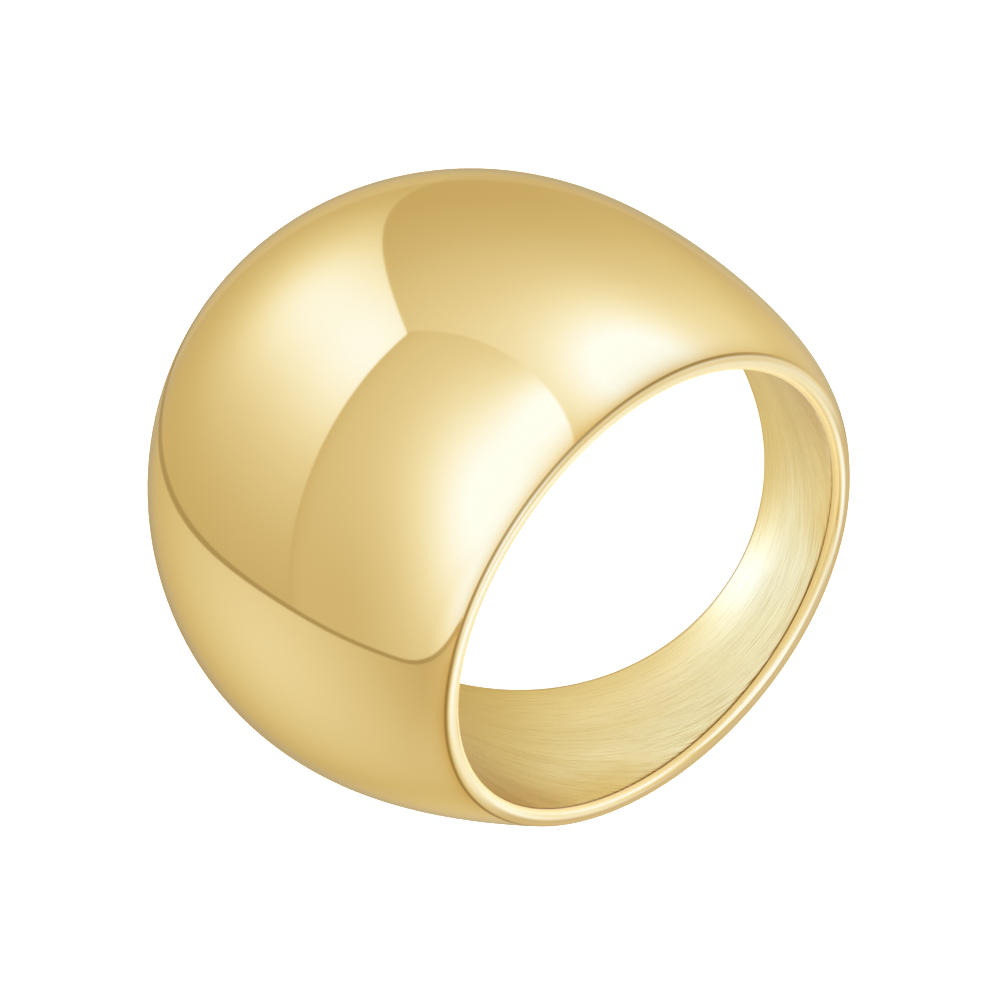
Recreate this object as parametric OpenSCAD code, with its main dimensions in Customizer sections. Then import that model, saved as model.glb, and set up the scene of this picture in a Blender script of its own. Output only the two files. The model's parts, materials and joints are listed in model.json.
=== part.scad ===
// Dome ring: a band that swells into a high dome over the finger and is thin behind it.
// The ring lies on its side, as it would by itself: on the rounded lip of one opening.
// The origin is the centre of the finger bore. Angles run round the bore, from 0 at the
// middle of the dome to 180 at the middle of the back. All lengths are in millimetres.

/* [Finger bore] */
// Diameter of the bore that the finger goes through
bore_d = 17.3; // [14:0.1:23]

/* [Length of the bore] */
// Length of the bore under the middle of the dome
front_w = 19.2; // [14:0.1:24]
// Length of the bore at either side
side_w = 11.2; // [8:0.1:13]
// Length of the bore at the middle of the back
back_w = 4.3; // [3:0.1:7]

/* [Wall over the bore, at its crown] */
// Wall at the middle of the dome
dome_t = 7.25; // [5:0.05:9]
// Wall halfway from the dome to the side
shoulder_t = 5.45; // [4:0.05:6.5]
// Wall at either side
side_t = 2.1; // [1.6:0.1:3]
// Wall halfway from the side to the back
flank_t = 1.55; // [1.3:0.05:2.2]
// Wall at the middle of the back
back_t = 1.3; // [1.1:0.05:2]

/* [Rounding over the width] */
// Angle where the crown's arc leaves the lip at the dome; 0 makes it half an ellipse
dome_arc_start = 9; // [0:1:30]
// The same angle at either side
side_arc_start = 60; // [30:1:65]
// The same angle at the back, where 90 would be a parabola
back_arc_start = 75; // [40:1:80]

/* [Lip] */
// Thickness of the rounded lip round each opening
lip_t = 0.75; // [0.4:0.05:1]
// How far the lip is rounded before the dome rises from it, in degrees
dome_lip_wrap = 122; // [110:1:150]
// The same angle at the back, where the lip runs into the band
back_lip_wrap = 168; // [140:1:175]

/* [Hidden] */
gold = [0.83, 0.69, 0.42];

// Sections round the ring, strips over the crown and strips over each lip
round_steps = 80;
crown_steps = 24;
lip_steps = 6;
// Angle where the lip's rounding leaves the bore's wall
lip_start = 20;

bore_r = bore_d / 2;
lip_r = lip_t / 2;

// Value at angle a of the smooth curve that has the values v at even steps from 0 to 180
// degrees, the same on both sides of the ring. It is a sum of cosines.
function wave(v, k) =
    let(n = len(v) - 1)
    (k == 0 || k == n ? 1 : 2) / n
    * ((v[0] + v[n] * cos(180 * k)) / 2
       + (n > 1 ? sum([for (j = [1:n - 1]) v[j] * cos(180 * j * k / n)]) : 0));
function round_value(v, a) = sum([for (k = [0:len(v) - 1]) wave(v, k) * cos(k * a)]);
function sum(v) = v * [for (x = v) 1];

// Half the bore's length, the crown's radius, the arc's start and the lip's wrap at angle a
function half_w(a) = round_value([front_w, side_w, back_w], a) / 2;
function crown_r(a) =
    bore_r + round_value([dome_t, shoulder_t, side_t, flank_t, back_t], a);
function arc_start(a) = round_value([dome_arc_start, side_arc_start, back_arc_start], a);
function lip_wrap(a) = round_value([dome_lip_wrap, back_lip_wrap], a);

// A point of the section is [radius, height along the bore]
function lip_point(a, turn) =
    [bore_r + lip_r * (1 - cos(turn)), half_w(a) + lip_r * sin(turn)];

// Crown point at t, which runs from 0 at the crown to 1 at the lip
function crown_point(a, t) =
    let(start = arc_start(a), edge = lip_point(a, lip_wrap(a)), rise = sqrt(1 - pow(t * cos(start), 2)))
    [edge[0] + (crown_r(a) - edge[0]) * (rise - sin(start)) / (1 - sin(start)), t * edge[1]];

// Upper half of the section, from the inner wall over the lip to the crown. Strips get
// narrower towards the lip, where the crown's arc turns fastest.
function upper_half(a) = concat(
    [[bore_r - lip_r / 2, half_w(a) - lip_r]],
    [for (i = [0:lip_steps]) lip_point(a, lip_start + (lip_wrap(a) - lip_start) * i / lip_steps)],
    [for (i = [1:crown_steps / 2]) crown_point(a, cos(180 * i / crown_steps))]
);

function section(a) =
    let(up = upper_half(a), last = len(up) - 1)
    concat(up, [for (i = [1:last]) [up[last - i][0], -up[last - i][1]]]);

// Swept skin of the ring, with an inner wall that the bore cuts away
module skin() {
    rings = [for (s = [0:round_steps - 1]) section(360 * s / round_steps)];
    m = len(rings[0]);
    points = [
        for (s = [0:round_steps - 1]) let(a = 360 * s / round_steps)
        for (p = rings[s]) [p[0] * sin(a), -p[0] * cos(a), p[1]]
    ];
    faces = [
        for (s = [0:round_steps - 1]) let(here = s * m, next = (s + 1) % round_steps * m)
        for (i = [0:m - 1]) let(j = (i + 1) % m)
        each [[here + i, next + j, here + j], [here + i, next + i, next + j]]
    ];
    polyhedron(points, faces, convexity = 6);
}

// The far lip's lowest points at the dome and at the back give the plane that it lies on
lie_angle = atan((front_w - back_w) / 2 / (2 * (bore_r + lip_r)));

module ring() {
    color(gold)
    rotate([-lie_angle, 0, 0])
    difference() {
        skin();
        cylinder(h = 2 * front_w, r = bore_r, center = true, $fn = 96);
    }
}

ring();
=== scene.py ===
"""Dome ring: one piece of polished yellow metal with a satin bore, lying on a pale floor."""

import json
import math

import bpy
from mathutils import Matrix, Vector


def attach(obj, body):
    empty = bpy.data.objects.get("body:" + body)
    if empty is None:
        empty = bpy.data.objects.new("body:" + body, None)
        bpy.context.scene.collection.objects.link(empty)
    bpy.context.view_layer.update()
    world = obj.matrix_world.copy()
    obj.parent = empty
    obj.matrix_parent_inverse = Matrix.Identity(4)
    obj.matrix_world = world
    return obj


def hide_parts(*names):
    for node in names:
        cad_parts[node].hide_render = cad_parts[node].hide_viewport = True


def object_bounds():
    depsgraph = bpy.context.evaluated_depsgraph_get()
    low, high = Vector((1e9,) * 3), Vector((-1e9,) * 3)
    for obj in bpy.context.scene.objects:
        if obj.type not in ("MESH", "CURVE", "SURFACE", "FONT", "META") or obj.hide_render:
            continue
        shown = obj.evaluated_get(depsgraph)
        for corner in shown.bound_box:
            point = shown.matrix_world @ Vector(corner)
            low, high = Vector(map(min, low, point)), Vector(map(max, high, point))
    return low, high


bl_info = {
    "name": "Dome ring",
    "version": (1, 0, 0),
    "blender": (4, 5, 0),
    "location": "3D View > Sidebar > Ring",
    "description": "Builds a dome ring in polished and satin gold, with its floor, light and camera",
    "category": "Object",
}

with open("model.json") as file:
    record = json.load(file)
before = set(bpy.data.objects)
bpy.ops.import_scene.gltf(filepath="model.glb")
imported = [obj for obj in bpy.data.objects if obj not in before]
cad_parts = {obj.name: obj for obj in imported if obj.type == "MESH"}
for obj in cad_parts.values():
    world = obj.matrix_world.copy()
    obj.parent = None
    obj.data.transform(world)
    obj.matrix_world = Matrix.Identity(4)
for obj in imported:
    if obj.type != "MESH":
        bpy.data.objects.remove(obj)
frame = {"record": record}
solid_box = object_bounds()
bore = frame["record"]["mounts"][0]["dims"]

MM = 0.001


# Numbers, vectors and colours in a node tree

class Number:
    """A number in a node tree. Sums, products and functions of it are Math nodes."""

    def __init__(self, tree, socket):
        self.tree = tree
        self.socket = socket

    def math(self, operation, *others):
        node = add_node(self.tree, "ShaderNodeMath")
        node.operation = operation
        for slot, value in zip(node.inputs, (self, *others)):
            feed(self.tree, value, slot)
        return Number(self.tree, node.outputs[0])

    def __add__(self, other):
        return self.math("ADD", other)

    def __sub__(self, other):
        return self.math("SUBTRACT", other)

    def __mul__(self, other):
        return self.math("MULTIPLY", other)

    def __truediv__(self, other):
        return self.math("DIVIDE", other)

    def __neg__(self):
        return self.math("MULTIPLY", -1)

    def less_from(self, whole):
        """whole minus this number."""
        return (-self) + whole

    def at_least(self, other):
        """The larger of this number and the other."""
        return self.math("MAXIMUM", other)

    def sin(self):
        return self.math("SINE")

    def cos(self):
        return self.math("COSINE")

    def exp(self):
        return self.math("EXPONENT")

    def root(self):
        return self.math("SQRT")

    def ramp(self, low, high, start=0.0, end=1.0):
        """Smooth step from start, where this number is low, to end, where it is high."""
        node = add_node(self.tree, "ShaderNodeMapRange")
        node.interpolation_type = "SMOOTHSTEP"
        for slot, value in zip(node.inputs, (self, low, high, start, end)):
            feed(self.tree, value, slot)
        return Number(self.tree, node.outputs[0])

    def fall(self, low, high):
        """Smooth step down from 1, where this number is low, to 0, where it is high."""
        return self.ramp(low, high, 1, 0)


def add_node(tree, kind):
    """A new node, laid out in rows of ten so that the tree can be read."""
    node = tree.nodes.new(kind)
    place = len(tree.nodes) - 1
    node.location = (220 * (place % 10), -260 * (place // 10))
    return node


def feed(tree, value, slot):
    """Links a number or socket to an input, or sets the input to a plain value."""
    if isinstance(value, Number):
        value = value.socket
    if isinstance(value, bpy.types.NodeSocket):
        tree.links.new(value, slot)
    else:
        slot.default_value = value


def total(numbers):
    """Sum of several numbers."""
    first, *others = numbers
    for number in others:
        first = first + number
    return first


def mix_numbers(share, first, second):
    """first where share is 0, second where it is 1."""
    return first + (second - first) * share


def split(tree, vector):
    """The X, Y and Z of a vector socket, as numbers."""
    node = add_node(tree, "ShaderNodeSeparateXYZ")
    tree.links.new(vector, node.inputs[0])
    return [Number(tree, socket) for socket in node.outputs]


def combine(tree, x=0.0, y=0.0, z=0.0):
    """Vector socket of three numbers."""
    node = add_node(tree, "ShaderNodeCombineXYZ")
    for slot, value in zip(node.inputs, (x, y, z)):
        feed(tree, value, slot)
    return node.outputs[0]


def shaded(tree, colour, share, shade):
    """The colour, multiplied by a shade as far as the share goes."""
    mix = add_node(tree, "ShaderNodeMix")
    mix.data_type = "RGBA"
    mix.blend_type = "MULTIPLY"
    feed(tree, share, mix.inputs["Factor"])
    tree.links.new(colour, mix.inputs["A"])
    mix.inputs["B"].default_value = (*shade, 1)
    return mix.outputs["Result"]


def direction(azimuth, elevation):
    """Unit vector, with azimuth round from +X and elevation above the floor, in degrees."""
    a, e = math.radians(azimuth), math.radians(elevation)
    return Vector((math.cos(a) * math.cos(e), math.sin(a) * math.cos(e), math.sin(e)))


def along(tree, vector, azimuth, elevation):
    """How far a vector socket points in that direction, from -1 to 1."""
    node = add_node(tree, "ShaderNodeVectorMath")
    node.operation = "DOT_PRODUCT"
    tree.links.new(vector, node.inputs[0])
    node.inputs[1].default_value = direction(azimuth, elevation)
    return Number(tree, node.outputs["Value"])


# Sizes, colours and settings

class RingSizes(bpy.types.PropertyGroup):
    """Sizes of the ring, as its solid has them"""

    bore_d: bpy.props.FloatProperty(
        name="Bore diameter", description="Width of the opening for the finger",
        default=2 * bore["r_mm"] * MM, min=0.01, unit="LENGTH")
    front_w: bpy.props.FloatProperty(
        name="Length at the dome", description="Length of the bore under the middle of the dome",
        default=19.2 * MM, min=0.005, unit="LENGTH")
    side_w: bpy.props.FloatProperty(
        name="Length at the side", description="Length of the bore at either side",
        default=11.2 * MM, min=0.003, unit="LENGTH")
    back_w: bpy.props.FloatProperty(
        name="Length at the back", description="Length of the bore at the middle of the back",
        default=4.3 * MM, min=0.001, unit="LENGTH")
    dome_t: bpy.props.FloatProperty(
        name="Wall at the dome", description="Height of the crown over the bore, at the dome",
        default=7.25 * MM, min=0.001, unit="LENGTH")
    shoulder_t: bpy.props.FloatProperty(
        name="Wall at the shoulder", description="Height of the crown, halfway from dome to side",
        default=5.45 * MM, min=0.001, unit="LENGTH")
    side_t: bpy.props.FloatProperty(
        name="Wall at the side", description="Height of the crown over the bore, at either side",
        default=2.1 * MM, min=0.0005, unit="LENGTH")
    flank_t: bpy.props.FloatProperty(
        name="Wall at the flank", description="Height of the crown, halfway from side to back",
        default=1.55 * MM, min=0.0005, unit="LENGTH")
    back_t: bpy.props.FloatProperty(
        name="Wall at the back", description="Height of the crown over the bore, at the back",
        default=1.3 * MM, min=0.0005, unit="LENGTH")
    dome_start: bpy.props.FloatProperty(
        name="Arc start at the dome", description="Angle where the crown's arc leaves the lip",
        default=math.radians(9), subtype="ANGLE")
    side_start: bpy.props.FloatProperty(
        name="Arc start at the side", description="The same angle at either side",
        default=math.radians(60), subtype="ANGLE")
    back_start: bpy.props.FloatProperty(
        name="Arc start at the back", description="The same angle at the back",
        default=math.radians(75), subtype="ANGLE")
    lip_t: bpy.props.FloatProperty(
        name="Lip thickness", description="Thickness of the rounded lip round each opening",
        default=0.75 * MM, min=0.0001, unit="LENGTH")
    dome_wrap: bpy.props.FloatProperty(
        name="Lip wrap at the dome", description="How far the lip is rounded before the dome rises",
        default=math.radians(122), subtype="ANGLE")
    back_wrap: bpy.props.FloatProperty(
        name="Lip wrap at the back", description="The same angle at the back",
        default=math.radians(168), subtype="ANGLE")
    lip_start: bpy.props.FloatProperty(
        name="Lip start", description="Angle where the lip's rounding leaves the bore's wall",
        default=math.radians(20), subtype="ANGLE")


class RingFinish(bpy.types.PropertyGroup):
    """Colours and polish of the metal, and the painted shades and highlight on it"""

    polished: bpy.props.FloatVectorProperty(
        name="Polished gold", description="Colour of the polished outside",
        default=(0.658, 0.434, 0.148), size=3, min=0, max=1, subtype="COLOR")
    satin: bpy.props.FloatVectorProperty(
        name="Satin gold", description="Colour of the satin bore",
        default=(0.66, 0.445, 0.135), size=3, min=0, max=1, subtype="COLOR")
    # Painted shade: the satin is darker under the dome
    painted_deep_shade: bpy.props.FloatVectorProperty(
        name="Deep bore", description="Shade of the satin under the dome",
        default=(0.85, 0.76, 0.50), size=3, min=0, max=1, subtype="COLOR")
    # Painted shade: the satin is darker beside the upper lip
    near: bpy.props.FloatVectorProperty(
        name="Near bore", description="Shade of the satin beside the upper lip",
        default=(0.88, 0.74, 0.42), size=3, min=0, max=1, subtype="COLOR")
    # Painted light: the satin is paler beside the lower lip, at the back
    far: bpy.props.FloatVectorProperty(
        name="Far bore", description="Paler shade of the satin beside the lower lip, at the back",
        default=(1.12, 1.17, 1.38), size=3, min=0, max=2, subtype="COLOR")
    # Painted shade: the fine dark line in the crease where the dome meets the lip
    painted_crease_shade: bpy.props.FloatVectorProperty(
        name="Groove", description="Shade of the fine line where the dome meets the lip",
        default=(0.50, 0.38, 0.19), size=3, min=0, max=1, subtype="COLOR")
    # Painted shade: the softer shade on the dome beside that line
    soft_crease_painted_shade: bpy.props.FloatVectorProperty(
        name="Groove shade", description="Softer shade on the dome beside that line",
        default=(0.78, 0.53, 0.10), size=3, min=0, max=1, subtype="COLOR")
    # Painted shade: the lip's outer half is darker, away from the dome
    painted_outer_shade: bpy.props.FloatVectorProperty(
        name="Dull lip", description="Shade of the lip's outer half, away from the dome",
        default=(0.60, 0.45, 0.24), size=3, min=0, max=1, subtype="COLOR")
    # Painted shade on the lip's turn into the dome, on one side
    painted_warm_shade: bpy.props.FloatVectorProperty(
        name="Warm lip", description="Shade of the lip's turn into the dome, on one side",
        default=(0.78, 0.66, 0.42), size=3, min=0, max=1, subtype="COLOR")
    # Painted shade: the dark line in the bore beside the lip, on one side
    seam: bpy.props.FloatVectorProperty(
        name="Seam", description="Shade of the line in the bore beside the lip, on one side",
        default=(0.55, 0.42, 0.28), size=3, min=0, max=1, subtype="COLOR")
    # Painted highlight: this shade is brighter than 1 and lightens the thin rim where the lip meets
    # the bore
    edge: bpy.props.FloatVectorProperty(
        name="Edge", description="Shade of the thin line where the lip meets the satin bore",
        default=(1.15, 1.37, 1.75), size=3, min=0, max=2, subtype="COLOR")
    # Painted shade: the lip's inner half is darker at the back
    painted_back_shade: bpy.props.FloatVectorProperty(
        name="Worn lip", description="Shade of the lip's inner half at the back",
        default=(0.98, 0.96, 0.92), size=3, min=0, max=1, subtype="COLOR")
    gloss: bpy.props.FloatProperty(
        name="Polish", description="Roughness of the polished outside",
        default=0.05, min=0, max=1, subtype="FACTOR")
    brushing: bpy.props.FloatProperty(
        name="Brushing", description="Roughness of the satin bore",
        default=0.32, min=0, max=1, subtype="FACTOR")
    groove_w: bpy.props.FloatProperty(
        name="Groove width", description="Width of the dark line beside the lip",
        default=0.05 * MM, min=0, unit="LENGTH")
    groove_fade: bpy.props.FloatProperty(
        name="Groove fade", description="How far up the dome the line's shade fades out",
        default=0.2 * MM, min=0, unit="LENGTH")


class StageSettings(bpy.types.PropertyGroup):
    """Floor, light and camera"""

    floor: bpy.props.FloatVectorProperty(
        name="Floor", description="Colour of the floor",
        default=(0.86, 0.86, 0.86), size=3, min=0, max=1, subtype="COLOR")
    floor_w: bpy.props.FloatProperty(
        name="Floor width", description="Side of the square floor",
        default=1.6, min=0.1, unit="LENGTH")
    brightness: bpy.props.FloatProperty(
        name="Brightness", description="Strength of the even light on the floor",
        default=1.5, min=0)
    floor_glow: bpy.props.FloatProperty(
        name="Floor glow", description="Light of the floor itself, as on a light table",
        default=0.8, min=0)
    golden: bpy.props.FloatVectorProperty(
        name="Golden card", description="Tint of the light behind the ring",
        default=(1.0, 0.88, 0.48), size=3, min=0, max=1, subtype="COLOR")
    studio: bpy.props.FloatProperty(
        name="Studio", description="Strength of the screens that the metal mirrors",
        default=1.0, min=0)
    position: bpy.props.FloatVectorProperty(
        name="Camera position", description="Where the camera stands",
        default=(-43.83 * MM, -38.38 * MM, 187.99 * MM), size=3, precision=5, unit="LENGTH")
    aim: bpy.props.FloatVectorProperty(
        name="Camera aim", description="The point in the middle of the picture",
        default=(0.25 * MM, -2.98 * MM, 0.32 * MM), size=3, precision=5, unit="LENGTH")
    roll: bpy.props.FloatProperty(
        name="Camera roll", description="Turn of the camera about its own line of sight",
        default=math.radians(165.85), subtype="ANGLE")
    lens: bpy.props.FloatProperty(
        name="Lens", description="Focal length of the camera in millimetres",
        default=200, min=1, unit="CAMERA")


def own_settings(group):
    """The settings that a property group holds, by key."""
    settings = group.bl_rna.properties.items()
    return {key: setting for key, setting in settings if key not in ("rna_type", "name")}


# Ring shape

# How finely the ring's tree divides each strip
STEP_INPUTS = (
    ("Steps round", 480),
    ("Steps over the crown", 140),
    ("Steps over the lip", 14),
    ("Steps along the bore", 24),
)

# Points of neighbouring strips that lie closer than this are one point
MERGE = 0.002 * MM
# A point is on the crease if it lies closer to it than this
ON_CREASE = 0.0001 * MM
# The crease is sharp from the dome round to where the cosine of the ring's angle is this
CREASE_END = -0.7
# What a strip stores as its distance from an edge that it doesn't reach
FAR_OFF = 1.0


def round_value(values, angle):
    """Smooth curve through values at even steps from the dome's middle to the back's."""
    last = len(values) - 1
    terms = []
    for k in range(last + 1):
        waves = [math.cos(math.pi * j * k / last) for j in range(last + 1)]
        waves[0] /= 2
        waves[last] /= 2
        part = total(value * wave for value, wave in zip(values, waves))
        part = part * ((1 if k in (0, last) else 2) / last)
        terms.append((angle * k).cos() * part if k else part)
    return total(terms)


def modify(tree, kind, geometry, values=None, **settings):
    """The geometry after one more node, with that node's settings and its other inputs."""
    node = add_node(tree, kind)
    for name, setting in settings.items():
        setattr(node, name, setting)
    for part in geometry if isinstance(geometry, tuple) else (geometry,):
        tree.links.new(part, node.inputs["Geometry"])
    for name, value in (values or {}).items():
        feed(tree, value, node.inputs[name])
    return node.outputs["Geometry"]


def store(tree, geometry, name, value, kind="FLOAT", domain="POINT"):
    """The geometry with a named attribute of that value."""
    return modify(tree, "GeometryNodeStoreNamedAttribute", geometry,
                  {"Name": name, "Value": value}, data_type=kind, domain=domain)


def stored(tree, name, kind="FLOAT"):
    """A named attribute of the geometry."""
    node = add_node(tree, "GeometryNodeInputNamedAttribute")
    node.data_type = kind
    node.inputs["Name"].default_value = name
    return Number(tree, node.outputs["Attribute"])


def ring_strips(tree, size, steps):
    """Bore wall, two lips and crown, each a grid that is bent round into its strip."""
    # Each grid is one metre square: x runs once round the ring and y across the strip
    x, y, _ = split(tree, add_node(tree, "GeometryNodeInputPosition").outputs[0])
    angle = x * (2 * math.pi)
    across = y + 0.5

    def round_ring(*names):
        return round_value([size[name] for name in names], angle)

    bore_r = size["bore_d"] * 0.5
    lip_r = size["lip_t"] * 0.5
    half_w = round_ring("front_w", "side_w", "back_w") * 0.5
    crown_r = round_ring("dome_t", "shoulder_t", "side_t", "flank_t", "back_t") + bore_r
    start = round_ring("dome_start", "side_start", "back_start")
    wrap = round_ring("dome_wrap", "back_wrap")

    def lip_point(turn):
        """Radius and height where the lip has turned that far from the bore's wall."""
        return bore_r + lip_r * turn.cos().less_from(1), half_w + lip_r * turn.sin()

    def bend(count, radius, height, to_crease, to_bore, crown=0.0, inside=False):
        """One grid bent into its strip, with what the metals need to know of it."""
        grid = add_node(tree, "GeometryNodeMeshGrid")
        feed(tree, steps["Steps round"] + 1, grid.inputs["Vertices X"])
        feed(tree, steps[count] + 1, grid.inputs["Vertices Y"])
        strip = store(tree, grid.outputs["Mesh"], "from_crease", to_crease)
        strip = store(tree, strip, "from_bore", to_bore)
        strip = store(tree, strip, "dome_side", angle.cos())
        strip = store(tree, strip, "crown", crown, "FLOAT", "FACE")
        strip = store(tree, strip, "inside", inside, "BOOLEAN", "FACE")
        point = combine(tree, radius * angle.sin(), -(radius * angle.cos()), height)
        return modify(tree, "GeometryNodeSetPosition", strip, {"Position": point})

    # Crown: t runs from -1 at the far lip to 1 at the near one, closer set near both, as a
    # cosine is without its flattest ends
    skipped = 0.04 * math.pi
    t = -((across * (math.pi - 2 * skipped) + skipped).cos()) / math.cos(skipped)
    edge_r, edge_h = lip_point(wrap)
    reach = t * start.cos()
    low = start.sin()
    rise = ((reach * reach).less_from(1).at_least(low * low).root() - low) / low.less_from(1)
    above = (crown_r - edge_r) * rise
    crown = bend("Steps over the crown", edge_r + above, t * edge_h, above, FAR_OFF, crown=1.0)

    # Lips: the turn runs from the lip's start at the bore to the wrap, where the crown starts
    def lip(share, side):
        turn = mix_numbers(share, size["lip_start"], wrap)
        radius, height = lip_point(turn)
        to_crease = lip_r * (wrap - turn)
        to_bore = lip_r * (turn - size["lip_start"])
        return bend("Steps over the lip", radius, height * side, to_crease, to_bore)

    near = lip(across.less_from(1), 1)
    far = lip(across, -1)

    # Bore wall: straight, and flared at its very ends to meet the lips
    flared = 0.02
    end_r, end_h = lip_point(size["lip_start"])
    place = (across.less_from(0.5) * math.pi).sin()
    off_middle = place.math("ABSOLUTE")
    flare = (off_middle - (1 - flared)).at_least(0) / flared
    wall = bend("Steps along the bore", bore_r + (end_r - bore_r) * flare, place * end_h,
                FAR_OFF, off_middle.less_from(1) * end_h, inside=True)
    return wall, far, near, crown


def ring_tree():
    """Geometry Nodes tree of the ring, from its sizes to a closed skin in its two metals."""
    tree = bpy.data.node_groups.new("Dome ring shape", "GeometryNodeTree")
    face = tree.interface
    sizes = own_settings(RingSizes)
    for setting in sizes.values():
        face.new_socket(setting.name, in_out="INPUT", socket_type="NodeSocketFloat")
    for name, steps in STEP_INPUTS:
        face.new_socket(name, in_out="INPUT", socket_type="NodeSocketInt").default_value = steps
    face.new_socket("Outside", in_out="INPUT", socket_type="NodeSocketMaterial")
    face.new_socket("Inside", in_out="INPUT", socket_type="NodeSocketMaterial")
    face.new_socket("Ring", in_out="OUTPUT", socket_type="NodeSocketGeometry")
    given = add_node(tree, "NodeGroupInput").outputs
    size = {key: Number(tree, given[setting.name]) for key, setting in sizes.items()}
    steps = {name: Number(tree, given[name]) for name, _ in STEP_INPUTS}

    ring = modify(tree, "GeometryNodeJoinGeometry", ring_strips(tree, size, steps))
    ring = modify(tree, "GeometryNodeMergeByDistance", ring, {"Distance": MERGE})
    ring = modify(tree, "GeometryNodeSetShadeSmooth", ring)

    # The crease beside the lip is sharp, except at the back where the two run into each other
    at_crease = stored(tree, "from_crease").math("LESS_THAN", ON_CREASE)
    sharp = at_crease * stored(tree, "dome_side").math("GREATER_THAN", CREASE_END)
    ring = modify(tree, "GeometryNodeSetShadeSmooth", ring,
                  {"Selection": sharp, "Shade Smooth": False}, domain="EDGE")

    # The ring lies on its far lip, at the plane through the lip's lowest points
    drop = (size["front_w"] - size["back_w"]) * 0.5
    lean = (drop / (size["bore_d"] + size["lip_t"])).math("ARCTANGENT")
    ring = modify(tree, "GeometryNodeTransform", ring, {"Rotation": combine(tree, -lean)})

    ring = modify(tree, "GeometryNodeRealizeInstances", ring)
    ring = modify(tree, "GeometryNodeSetMaterial", ring, {"Material": given["Outside"]})
    ring = modify(tree, "GeometryNodeSetMaterial", ring,
                  {"Selection": stored(tree, "inside", "BOOLEAN"), "Material": given["Inside"]})
    tree.links.new(ring, add_node(tree, "NodeGroupOutput").inputs[0])
    return tree


# Gold finishes

def hand_finish_group():
    """Shader group of what polishing leaves: soft waves, fine marks and faint clouding."""
    tree = bpy.data.node_groups.new("Hand finish", "ShaderNodeTree")
    face = tree.interface
    for name, default in (("Mark tint", 0.0), ("Roughness", 0.1), ("Clouding", 0.1)):
        face.new_socket(name, in_out="INPUT", socket_type="NodeSocketFloat").default_value = default
    face.new_socket("Vector", in_out="INPUT", socket_type="NodeSocketVector")
    face.new_socket("Metal", in_out="INPUT", socket_type="NodeSocketColor")
    face.new_socket("Color", in_out="OUTPUT", socket_type="NodeSocketColor")
    face.new_socket("Roughness", in_out="OUTPUT", socket_type="NodeSocketFloat")
    face.new_socket("Height", in_out="OUTPUT", socket_type="NodeSocketFloat")
    given = add_node(tree, "NodeGroupInput").outputs
    mark_tint = Number(tree, given["Mark tint"])
    roughness = Number(tree, given["Roughness"])
    clouding = Number(tree, given["Clouding"])

    def noise(scale, detail):
        """Noise with about that many patches to a unit of the vector."""
        node = add_node(tree, "ShaderNodeTexNoise")
        tree.links.new(given["Vector"], node.inputs["Vector"])
        node.inputs["Scale"].default_value = scale
        node.inputs["Detail"].default_value = detail
        return Number(tree, node.outputs["Fac"])

    swing = (noise(scale=150, detail=3.0) - 0.5) * 2
    marks = noise(scale=4000, detail=2.0)
    waves = noise(scale=260, detail=1.0)
    mark = marks - 0.5
    rough = roughness * (swing * clouding + 1) + mark * roughness * 0.3
    tinted = swing.ramp(-1, 1) * clouding * 0.5 + mark * mark_tint
    colour = shaded(tree, given["Metal"], tinted, (0.93, 0.91, 0.84))
    result = add_node(tree, "NodeGroupOutput").inputs
    tree.links.new(colour, result["Color"])
    feed(tree, rough, result["Roughness"])
    feed(tree, marks * 0.3 + waves, result["Height"])
    return tree


def new_material(name):
    """A material, its tree and its shader."""
    material = bpy.data.materials.new(name)
    material.use_nodes = True
    tree = material.node_tree
    return material, tree, tree.nodes["Principled BSDF"]


def finish_metal(tree, shader, group, vector, tint, depth):
    """The hand finish in a metal, with bumps of that depth."""
    shader.inputs["Metallic"].default_value = 1.0
    shader.inputs["Specular Tint"].default_value = (*tint, 1)
    made = add_node(tree, "ShaderNodeGroup")
    made.node_tree = group
    tree.links.new(vector, made.inputs["Vector"])
    bump = add_node(tree, "ShaderNodeBump")
    bump.inputs["Distance"].default_value = depth
    tree.links.new(made.outputs["Height"], bump.inputs["Height"])
    tree.links.new(bump.outputs["Normal"], shader.inputs["Normal"])
    return made


def attribute(tree, name):
    """A named attribute of the mesh."""
    node = add_node(tree, "ShaderNodeAttribute")
    node.attribute_name = name
    return Number(tree, node.outputs["Fac"])


def object_place(tree):
    """Object coordinates."""
    return add_node(tree, "ShaderNodeTexCoord").outputs["Object"]


def lying_place(tree, lean, scale=(1, 1, 1)):
    """Object coordinates turned so that Z runs along the bore, and scaled."""
    turn = add_node(tree, "ShaderNodeMapping")
    tree.links.new(object_place(tree), turn.inputs["Vector"])
    turn.inputs["Rotation"].default_value = (lean, 0, 0)
    turn.inputs["Scale"].default_value = scale
    return turn.outputs["Vector"]


def ring_place(tree):
    """Where a point is on the ring, as both metals read it.

    side is 1 at the dome's middle and -1 at the back's, from_rim is the distance from the edge
    between lip and bore, and x tells one side of the ring from the other.
    """
    side = attribute(tree, "dome_side")
    from_rim = attribute(tree, "from_bore")
    x = split(tree, object_place(tree))[0]
    return side, from_rim, x


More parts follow.
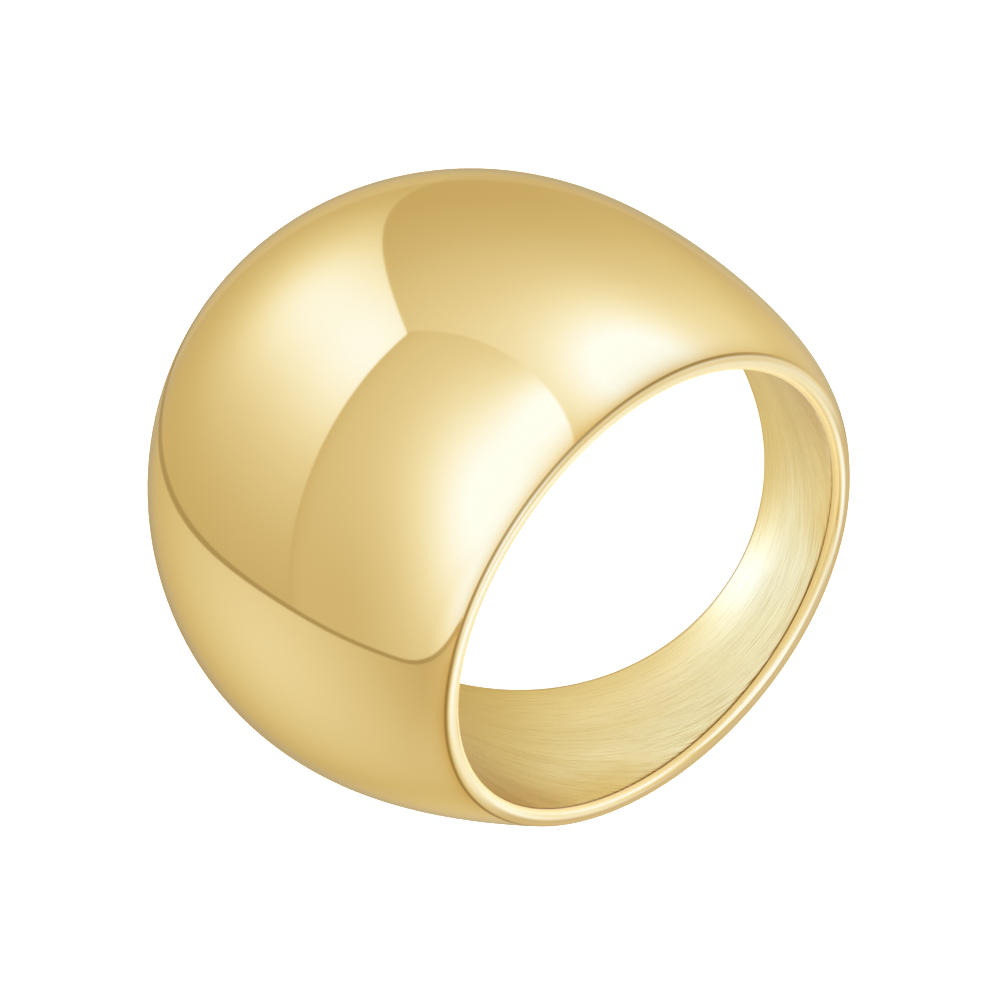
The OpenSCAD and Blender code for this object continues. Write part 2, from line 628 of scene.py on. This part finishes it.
def polished_material(finish, group):
    """Mirror polish, with painted shade in a dark line where the dome meets the lip, and painted
    shades and a painted highlight on the lip.
    """
    material, tree, shader = new_material("polished_gold")
    made = finish_metal(tree, shader, group, object_place(tree), tint=(0.95, 0.85, 0.62),
                        depth=0.0003 * MM)
    made.inputs["Roughness"].default_value = finish.gloss
    made.inputs["Clouding"].default_value = 0.15
    made.inputs["Metal"].default_value = (*finish.polished, 1)

    side, from_rim, x = ring_place(tree)
    gap = attribute(tree, "from_crease")
    crown = attribute(tree, "crown")
    on_lip = crown.less_from(1)

    # The painted shade in the crease is a dark line, darkest at the dome's middle and gone at the
    # back.
    # It ends sharply on the lip, and a softer painted shade fades out up the dome.
    width = finish.groove_w
    line = mix_numbers(crown, gap.fall(0.4 * width, 2.6 * width), gap.fall(0.2 * width, width))
    line = line * side.ramp(-0.5, 0.4)
    soft_painted_shade = (-(gap / finish.groove_fade)).exp() * crown * side.ramp(0, 0.6) * 0.75
    soft_painted_shade = soft_painted_shade * line.less_from(1)

    # Painted shade: away from the dome the lip's outer half is darker than its inner half, least on
    # one side
    outer_from = x.ramp(-4.0 * MM, 0, 0.42 * MM, 0.34 * MM)
    outer = from_rim.ramp(outer_from, outer_from + 0.14 * MM) * side.ramp(0.1, 0.6, 0.85, 0)
    outer = outer * x.ramp(-8.6 * MM, -6.6 * MM, 0.2, 1) * on_lip

    # Painted shade: on that side the lip's turn into the dome is warmer and darker
    warm_w = 0.25 * MM
    painted_warm_shade = (-(gap / warm_w)).exp() * x.ramp(-8.0 * MM, -5.0 * MM, 0.9, 0)

    # Painted shade: at the back the lip's inner half is a little darker
    painted_back_shade = from_rim.ramp(0.04 * MM, 0.12 * MM) * from_rim.fall(0.30 * MM, 0.42 * MM)
    painted_back_shade = painted_back_shade * side.fall(-0.85, -0.5) * on_lip

    # Painted highlight: the rim beside the bore is brightened and not metallic, so that it doesn't
    # mirror the dark bore
    rim_w = x.ramp(-5.0 * MM, -2.0 * MM, 0.22 * MM, 0.15 * MM)
    rim = from_rim.fall(rim_w, rim_w + 0.10 * MM)

    colour = made.outputs["Color"]
    for share, shade in (
        (line, finish.painted_crease_shade),
        (soft_painted_shade, finish.soft_crease_painted_shade),
        (outer, finish.painted_outer_shade),
        (painted_warm_shade, finish.painted_warm_shade),
        (painted_back_shade, finish.painted_back_shade),
        (rim, finish.edge),
    ):
        colour = shaded(tree, colour, share, shade)
    tree.links.new(colour, shader.inputs["Base Color"])
    feed(tree, rim.less_from(1), shader.inputs["Metallic"])

    # Line and rim are rougher than the rest, and so is the lip's turn into the dome
    blurred = gap.fall(0.10 * MM, 0.35 * MM) * on_lip * side.ramp(0, 0.6) * 0.2
    rubbed = (line.at_least(rim) * 0.35).at_least(blurred)
    feed(tree, Number(tree, made.outputs["Roughness"]) + rubbed, shader.inputs["Roughness"])
    return material


def satin_material(finish, group, lean):
    """Satin metal with fine brush lines round the bore, and painted shade and painted light on it.
    """
    material, tree, shader = new_material("satin_gold")
    # The marks are stretched round the bore and squeezed along it, into brush lines
    brushed = lying_place(tree, lean, scale=(0.15, 0.15, 3.0))
    made = finish_metal(tree, shader, group, brushed, tint=(0.95, 0.88, 0.70), depth=0.06 * MM)
    made.inputs["Mark tint"].default_value = 4.0
    made.inputs["Roughness"].default_value = finish.brushing
    made.inputs["Clouding"].default_value = 0.25
    made.inputs["Metal"].default_value = (*finish.satin, 1)

    side, from_rim, x = ring_place(tree)
    one_side = x.ramp(-3.5 * MM, -1.0 * MM)
    height = split(tree, lying_place(tree, lean))[2]

    # Painted shade: darker towards the dome, where the bore is deepest
    painted_deep_shade = side.ramp(-0.45, 0.15)

    # Painted shade: darker beside the upper lip, except under the dome and at the back of one side
    near = from_rim.fall(0.1 * MM, 3.0 * MM) * height.ramp(-0.5 * MM, 1.0 * MM)
    near = near * (side.fall(-0.75, -0.4) * one_side).less_from(1) * side.fall(0.1, 0.5)

    # Painted light: paler in the lower half, at the back
    far = height.fall(-1.5 * MM, 0.5 * MM) * side.fall(-0.6, -0.2)

    # Painted shade: a fine dark line runs beside the lip on one side
    line = from_rim.fall(0.03 * MM, 0.12 * MM) * one_side

    colour = made.outputs["Color"]
    for share, shade in (
        (painted_deep_shade, finish.painted_deep_shade),
        (near, finish.near),
        (far, finish.far),
        (line, finish.seam),
    ):
        colour = shaded(tree, colour, share, shade)
    tree.links.new(colour, shader.inputs["Base Color"])

    # Beside the lip the satin is less metallic, for the same reason as the rim
    dulled = from_rim.fall(0.02 * MM, 0.10 * MM) * 0.4
    feed(tree, dulled.less_from(1), shader.inputs["Metallic"])
    tree.links.new(made.outputs["Roughness"], shader.inputs["Roughness"])
    return material


def add_object(context, name, data):
    """A new object in the scene, unturned at the origin."""
    made = bpy.data.objects.new(name, data)
    context.scene.collection.objects.link(made)
    return made


class OBJECT_OT_dome_ring(bpy.types.Operator):
    """Build the ring from its sizes, in polished and satin gold"""

    bl_idname = "object.dome_ring"
    bl_label = "Add ring"

    def execute(self, context):
        sizes = context.scene.ring_sizes
        finish = context.scene.ring_finish
        group = hand_finish_group()
        # The lean that the tree gives the ring, for the brush lines to follow
        lean = math.atan((sizes.front_w - sizes.back_w) / 2 / (sizes.bore_d + sizes.lip_t))

        ring = add_object(context, "dome_ring", bpy.data.meshes.new("ring_start"))
        shape = ring.modifiers.new("Ring shape", "NODES")
        tree = ring_tree()
        inputs = [item for item in tree.interface.items_tree if item.in_out == "INPUT"]
        sockets = {item.name: item.identifier for item in inputs}
        shape.node_group = tree
        for key, setting in own_settings(sizes).items():
            shape[sockets[setting.name]] = getattr(sizes, key)
        for name, steps in STEP_INPUTS:
            shape[sockets[name]] = steps
        shape[sockets["Outside"]] = polished_material(finish, group)
        shape[sockets["Inside"]] = satin_material(finish, group, lean)

        shown = context.evaluated_depsgraph_get()
        mesh = bpy.data.meshes.new_from_object(ring.evaluated_get(shown), depsgraph=shown)
        if not mesh.polygons:
            raise RuntimeError("the ring's tree made no mesh")
        mesh.name = "dome_ring"
        ring.modifiers.remove(shape)
        ring.data = mesh
        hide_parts("ring")
        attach(ring, "root")
        return {"FINISHED"}


# Stage

# A level is how bright the gold is in the picture, from 0 to 1. Each step pairs a level with
# the light that the polished metal has to mirror for it, which the scale brings below 1.
LIGHT_SCALE = 6.0
LIGHT_STEPS = (
    (0.40, (0.38, 0.27, 0.12)),
    (0.52, (0.58, 0.53, 0.42)),
    (0.59, (0.68, 0.70, 0.68)),
    (0.65, (0.86, 0.87, 0.79)),
    (0.71, (1.00, 1.08, 1.13)),
    (0.81, (1.21, 1.42, 1.88)),
    (0.87, (1.34, 1.68, 2.57)),
    (0.93, (1.47, 1.97, 3.77)),
    (1.00, (1.53, 2.30, 5.80)),
)

# Lamps over the ring, by azimuth, elevation, strength and edge
LAMPS = (
    (66, 2, 0.18, 0.62),
    (67, 26, 0.185, 0.75),
    (70, -40, 0.14, 0.70),
    (107, -10, 0.10, 0.84),
)

# The direction behind the ring, by azimuth and elevation, that its whole outline mirrors
BEHIND = (39, -73)


def glow(tree, way, azimuth, elevation, tightness, strength):
    """Soft round glow about a direction."""
    near = along(tree, way, azimuth, elevation)
    return ((near - 1) * tightness).exp() * strength


def light_colours(tree, level):
    """Colour of the light that shows as that level on the polished metal."""
    colours = add_node(tree, "ShaderNodeValToRGB")
    ramp = colours.color_ramp
    while len(ramp.elements) < len(LIGHT_STEPS):
        ramp.elements.new(0.5)
    for element, (place, light) in zip(ramp.elements, LIGHT_STEPS):
        element.position = place
        element.color = (*(part / LIGHT_SCALE for part in light), 1)
    feed(tree, level, colours.inputs["Fac"])
    return colours.outputs["Color"]


def studio_level(tree, way):
    """Level of the light that the metal mirrors, in each direction."""
    # Edges of the screens, each a circle of directions about an axis: 0 on it and more within.
    # The number added is minus the cosine of the angle between circle and axis.
    corner = along(tree, way, -29.5, 3.4) + 0.247
    sill = along(tree, way, 97, 60.8) + 0.123
    cove = along(tree, way, 97.1, -66.2) + 0.412
    under = along(tree, way, 0, -90) - 0.945

    # The horizon is such a circle too, bent by a hill and a soft dip
    hill = (along(tree, way, 105.6, 39.9) - 0.283).at_least(0)
    horizon = along(tree, way, -163.4, 22) + 0.547 - hill * hill * 1.326
    horizon = horizon - glow(tree, way, -38, 6, 4.5, 0.064)

    # Screens: a plain level each, and soft glows by azimuth, elevation, tightness and strength
    def screen(level, *glows):
        return total(glow(tree, way, *light) for light in glows) + level

    window = screen(0.646, (-123, 11, 3.3, 0.318), (-110, -32, 10.9, 0.158), (-60, 32, 2.5, 0.024))
    wall = screen(0.629, (206, 29, 2.2, 0.185), (146, 9, 5.9, 0.355), (126, -35, 11, 0.203))
    ceiling = screen(0.733, (179, 63, 4.5, 0.192), (72, 62, 4.4, 0.199), (160, 35, 22, 0.138),
                     (-19, 45, 4.6, -0.052))
    ceiling = ceiling - (sill.at_least(0) * -20).exp() * 0.045
    ground = screen(0.632, (-22, -7, 2.3, 0.203), (0, -50, 9.4, -0.062), (25, 25, 2.8, -0.03))

    sharp = 0.006
    level = mix_numbers(cove.ramp(-sharp, sharp), ceiling, wall)
    framed = corner.ramp(-sharp, sharp) * sill.fall(-sharp, sharp)
    level = mix_numbers(framed, level, window)

    # The ground starts a little below the horizon, and the lamps wash both out
    clear = along(tree, way, 70, 10).fall(0.70, 0.85)
    below = (horizon - 0.008).fall(-sharp, sharp) * clear
    level = mix_numbers(below, level, ground)

    # A dark gap runs along the horizon, narrowest over the ring
    gap_level = 0.565
    gap = horizon / glow(tree, way, 28, 40, 12, 0.25).less_from(1)
    gap = gap.ramp(-0.014, -0.007) * gap.fall(0.012, 0.020) * clear
    level = level - gap * (level - gap_level)

    lamps = total(along(tree, way, azimuth, elevation).ramp(edge, 1) * strength
                  for azimuth, elevation, strength, edge in LAMPS)
    return level + under.ramp(-sharp, sharp) * 0.03 + lamps


def studio_world(stage):
    """Soft studio all round: broad screens that the metal mirrors, even light for the rest."""
    world = bpy.data.worlds.new("soft_studio")
    world.use_nodes = True
    tree = world.node_tree
    tree.nodes.clear()
    way = add_node(tree, "ShaderNodeTexCoord").outputs["Generated"]

    # A dark card behind the ring keeps its outline from going white. At a grazing angle metal
    # mirrors white light white, so the card is golden too.
    level = studio_level(tree, way) - glow(tree, way, *BEHIND, tightness=18, strength=0.22)
    card = glow(tree, way, *BEHIND, tightness=26, strength=1.0)
    golden = shaded(tree, light_colours(tree, level), card, stage.golden)

    mirrored = add_node(tree, "ShaderNodeBackground")
    tree.links.new(golden, mirrored.inputs["Color"])
    mirrored.inputs["Strength"].default_value = LIGHT_SCALE * stage.studio
    even = add_node(tree, "ShaderNodeBackground")
    even.inputs["Color"].default_value = (1, 1, 1, 1)
    even.inputs["Strength"].default_value = stage.brightness
    chosen = add_node(tree, "ShaderNodeMixShader")
    mirror_rays = add_node(tree, "ShaderNodeLightPath").outputs["Is Glossy Ray"]
    tree.links.new(mirror_rays, chosen.inputs[0])
    tree.links.new(even.outputs[0], chosen.inputs[1])
    tree.links.new(mirrored.outputs[0], chosen.inputs[2])
    result = add_node(tree, "ShaderNodeOutputWorld")
    tree.links.new(chosen.outputs[0], result.inputs["Surface"])
    return world


def table_glow(context, stage, low):
    """Lit patch of the table under the ring, for the bore to mirror. Only mirror rays see it."""
    material, tree, shader = new_material("table_glow")
    shader.inputs["Base Color"].default_value = (0, 0, 0, 1)
    shader.inputs["Specular IOR Level"].default_value = 0.0
    x = split(tree, object_place(tree))[0]
    level = 0.70
    for middle, reach, strength in ((0.8 * MM, 2.1 * MM, 0.30), (4.6 * MM, 2.0 * MM, 0.05)):
        off = (x - middle) / reach
        level = (-(off * off)).exp() * strength + level
    tree.links.new(light_colours(tree, level), shader.inputs["Emission Color"])
    shader.inputs["Emission Strength"].default_value = LIGHT_SCALE * stage.studio

    # An oval under the bore, just off the floor
    half_x = 8.3 * MM
    half_y = 9.0 * MM
    middle_y = -2.2 * MM
    height = low + 0.02 * MM
    corners = 64
    turns = [2 * math.pi * k / corners for k in range(corners)]
    rim = [(half_x * math.cos(a), half_y * math.sin(a) + middle_y, height) for a in turns]
    mesh = bpy.data.meshes.new("table_glow")
    mesh.from_pydata(rim, [], [tuple(range(corners))])
    mesh.materials.append(material)
    patch = add_object(context, "table_glow", mesh)
    patch.visible_camera = False
    patch.visible_diffuse = False
    patch.visible_shadow = False
    return patch


def floor_material(stage):
    """Pale matt floor with the faintest clouding."""
    material, tree, shader = new_material("pale_floor")
    clouds = add_node(tree, "ShaderNodeTexNoise")
    tree.links.new(object_place(tree), clouds.inputs["Vector"])
    clouds.inputs["Scale"].default_value = 40
    tint = add_node(tree, "ShaderNodeMix")
    tint.data_type = "RGBA"
    tree.links.new(clouds.outputs["Fac"], tint.inputs["Factor"])
    clouded = 0.98
    tint.inputs["A"].default_value = (*stage.floor, 1)
    tint.inputs["B"].default_value = (*(clouded * part for part in stage.floor), 1)
    tree.links.new(tint.outputs["Result"], shader.inputs["Base Color"])
    shader.inputs["Roughness"].default_value = 0.9
    shader.inputs["Specular IOR Level"].default_value = 0.0
    shader.inputs["Emission Color"].default_value = (1, 1, 1, 1)
    shader.inputs["Emission Strength"].default_value = stage.floor_glow
    return material


def pale_floor(context, stage, low):
    """Square floor at that height. The metal doesn't mirror it."""
    half = stage.floor_w / 2
    mesh = bpy.data.meshes.new("floor")
    corners = [(-half, -half, low), (half, -half, low), (half, half, low), (-half, half, low)]
    mesh.from_pydata(corners, [], [(0, 1, 2, 3)])
    mesh.materials.append(floor_material(stage))
    floor = add_object(context, "floor", mesh)
    floor.visible_glossy = False
    return floor


def portrait_camera(context, stage):
    """Camera that stands, looks and leans as the stage's settings say."""
    lens = bpy.data.cameras.new("portrait")
    lens.lens = stage.lens
    lens.sensor_width = 36
    lens.clip_start = 0.01
    lens.clip_end = 10
    camera = add_object(context, "portrait", lens)
    position, aim = Vector(stage.position), Vector(stage.aim)
    facing = (aim - position).to_track_quat("-Z", "Y").to_matrix().to_4x4()
    roll = Matrix.Rotation(stage.roll, 4, "Z")
    camera.matrix_world = Matrix.Translation(position) @ facing @ roll
    return camera


class SCENE_OT_ring_stage(bpy.types.Operator):
    """Set the pale floor, the soft studio light and the camera"""

    bl_idname = "scene.ring_stage"
    bl_label = "Set the stage"

    def execute(self, context):
        stage = context.scene.ring_stage
        low = solid_box[0].z
        pale_floor(context, stage, low)
        table_glow(context, stage, low)
        context.scene.world = studio_world(stage)
        context.scene.view_settings.view_transform = "Standard"
        context.scene.view_settings.look = "None"
        context.scene.camera = portrait_camera(context, stage)
        return {"FINISHED"}


class VIEW3D_PT_dome_ring(bpy.types.Panel):
    """Sizes, finish and stage of the ring"""

    bl_idname = "VIEW3D_PT_dome_ring"
    bl_label = "Dome ring"
    bl_space_type = "VIEW_3D"
    bl_region_type = "UI"
    bl_category = "Ring"

    def draw(self, context):
        for group, operator in (
            (context.scene.ring_sizes, None),
            (context.scene.ring_finish, "object.dome_ring"),
            (context.scene.ring_stage, "scene.ring_stage"),
        ):
            box = self.layout.box()
            for key in own_settings(group):
                box.prop(group, key)
            if operator:
                box.operator(operator)


CLASSES = (
    RingSizes,
    RingFinish,
    StageSettings,
    OBJECT_OT_dome_ring,
    SCENE_OT_ring_stage,
    VIEW3D_PT_dome_ring,
)


def register():
    for kind in CLASSES:
        bpy.utils.register_class(kind)
    bpy.types.Scene.ring_sizes = bpy.props.PointerProperty(type=RingSizes)
    bpy.types.Scene.ring_finish = bpy.props.PointerProperty(type=RingFinish)
    bpy.types.Scene.ring_stage = bpy.props.PointerProperty(type=StageSettings)


def unregister():
    del bpy.types.Scene.ring_stage
    del bpy.types.Scene.ring_finish
    del bpy.types.Scene.ring_sizes
    for kind in reversed(CLASSES):
        bpy.utils.unregister_class(kind)


def main():
    register()
    bpy.ops.object.dome_ring()
    bpy.ops.scene.ring_stage()


if __name__ == "__main__":
    main()
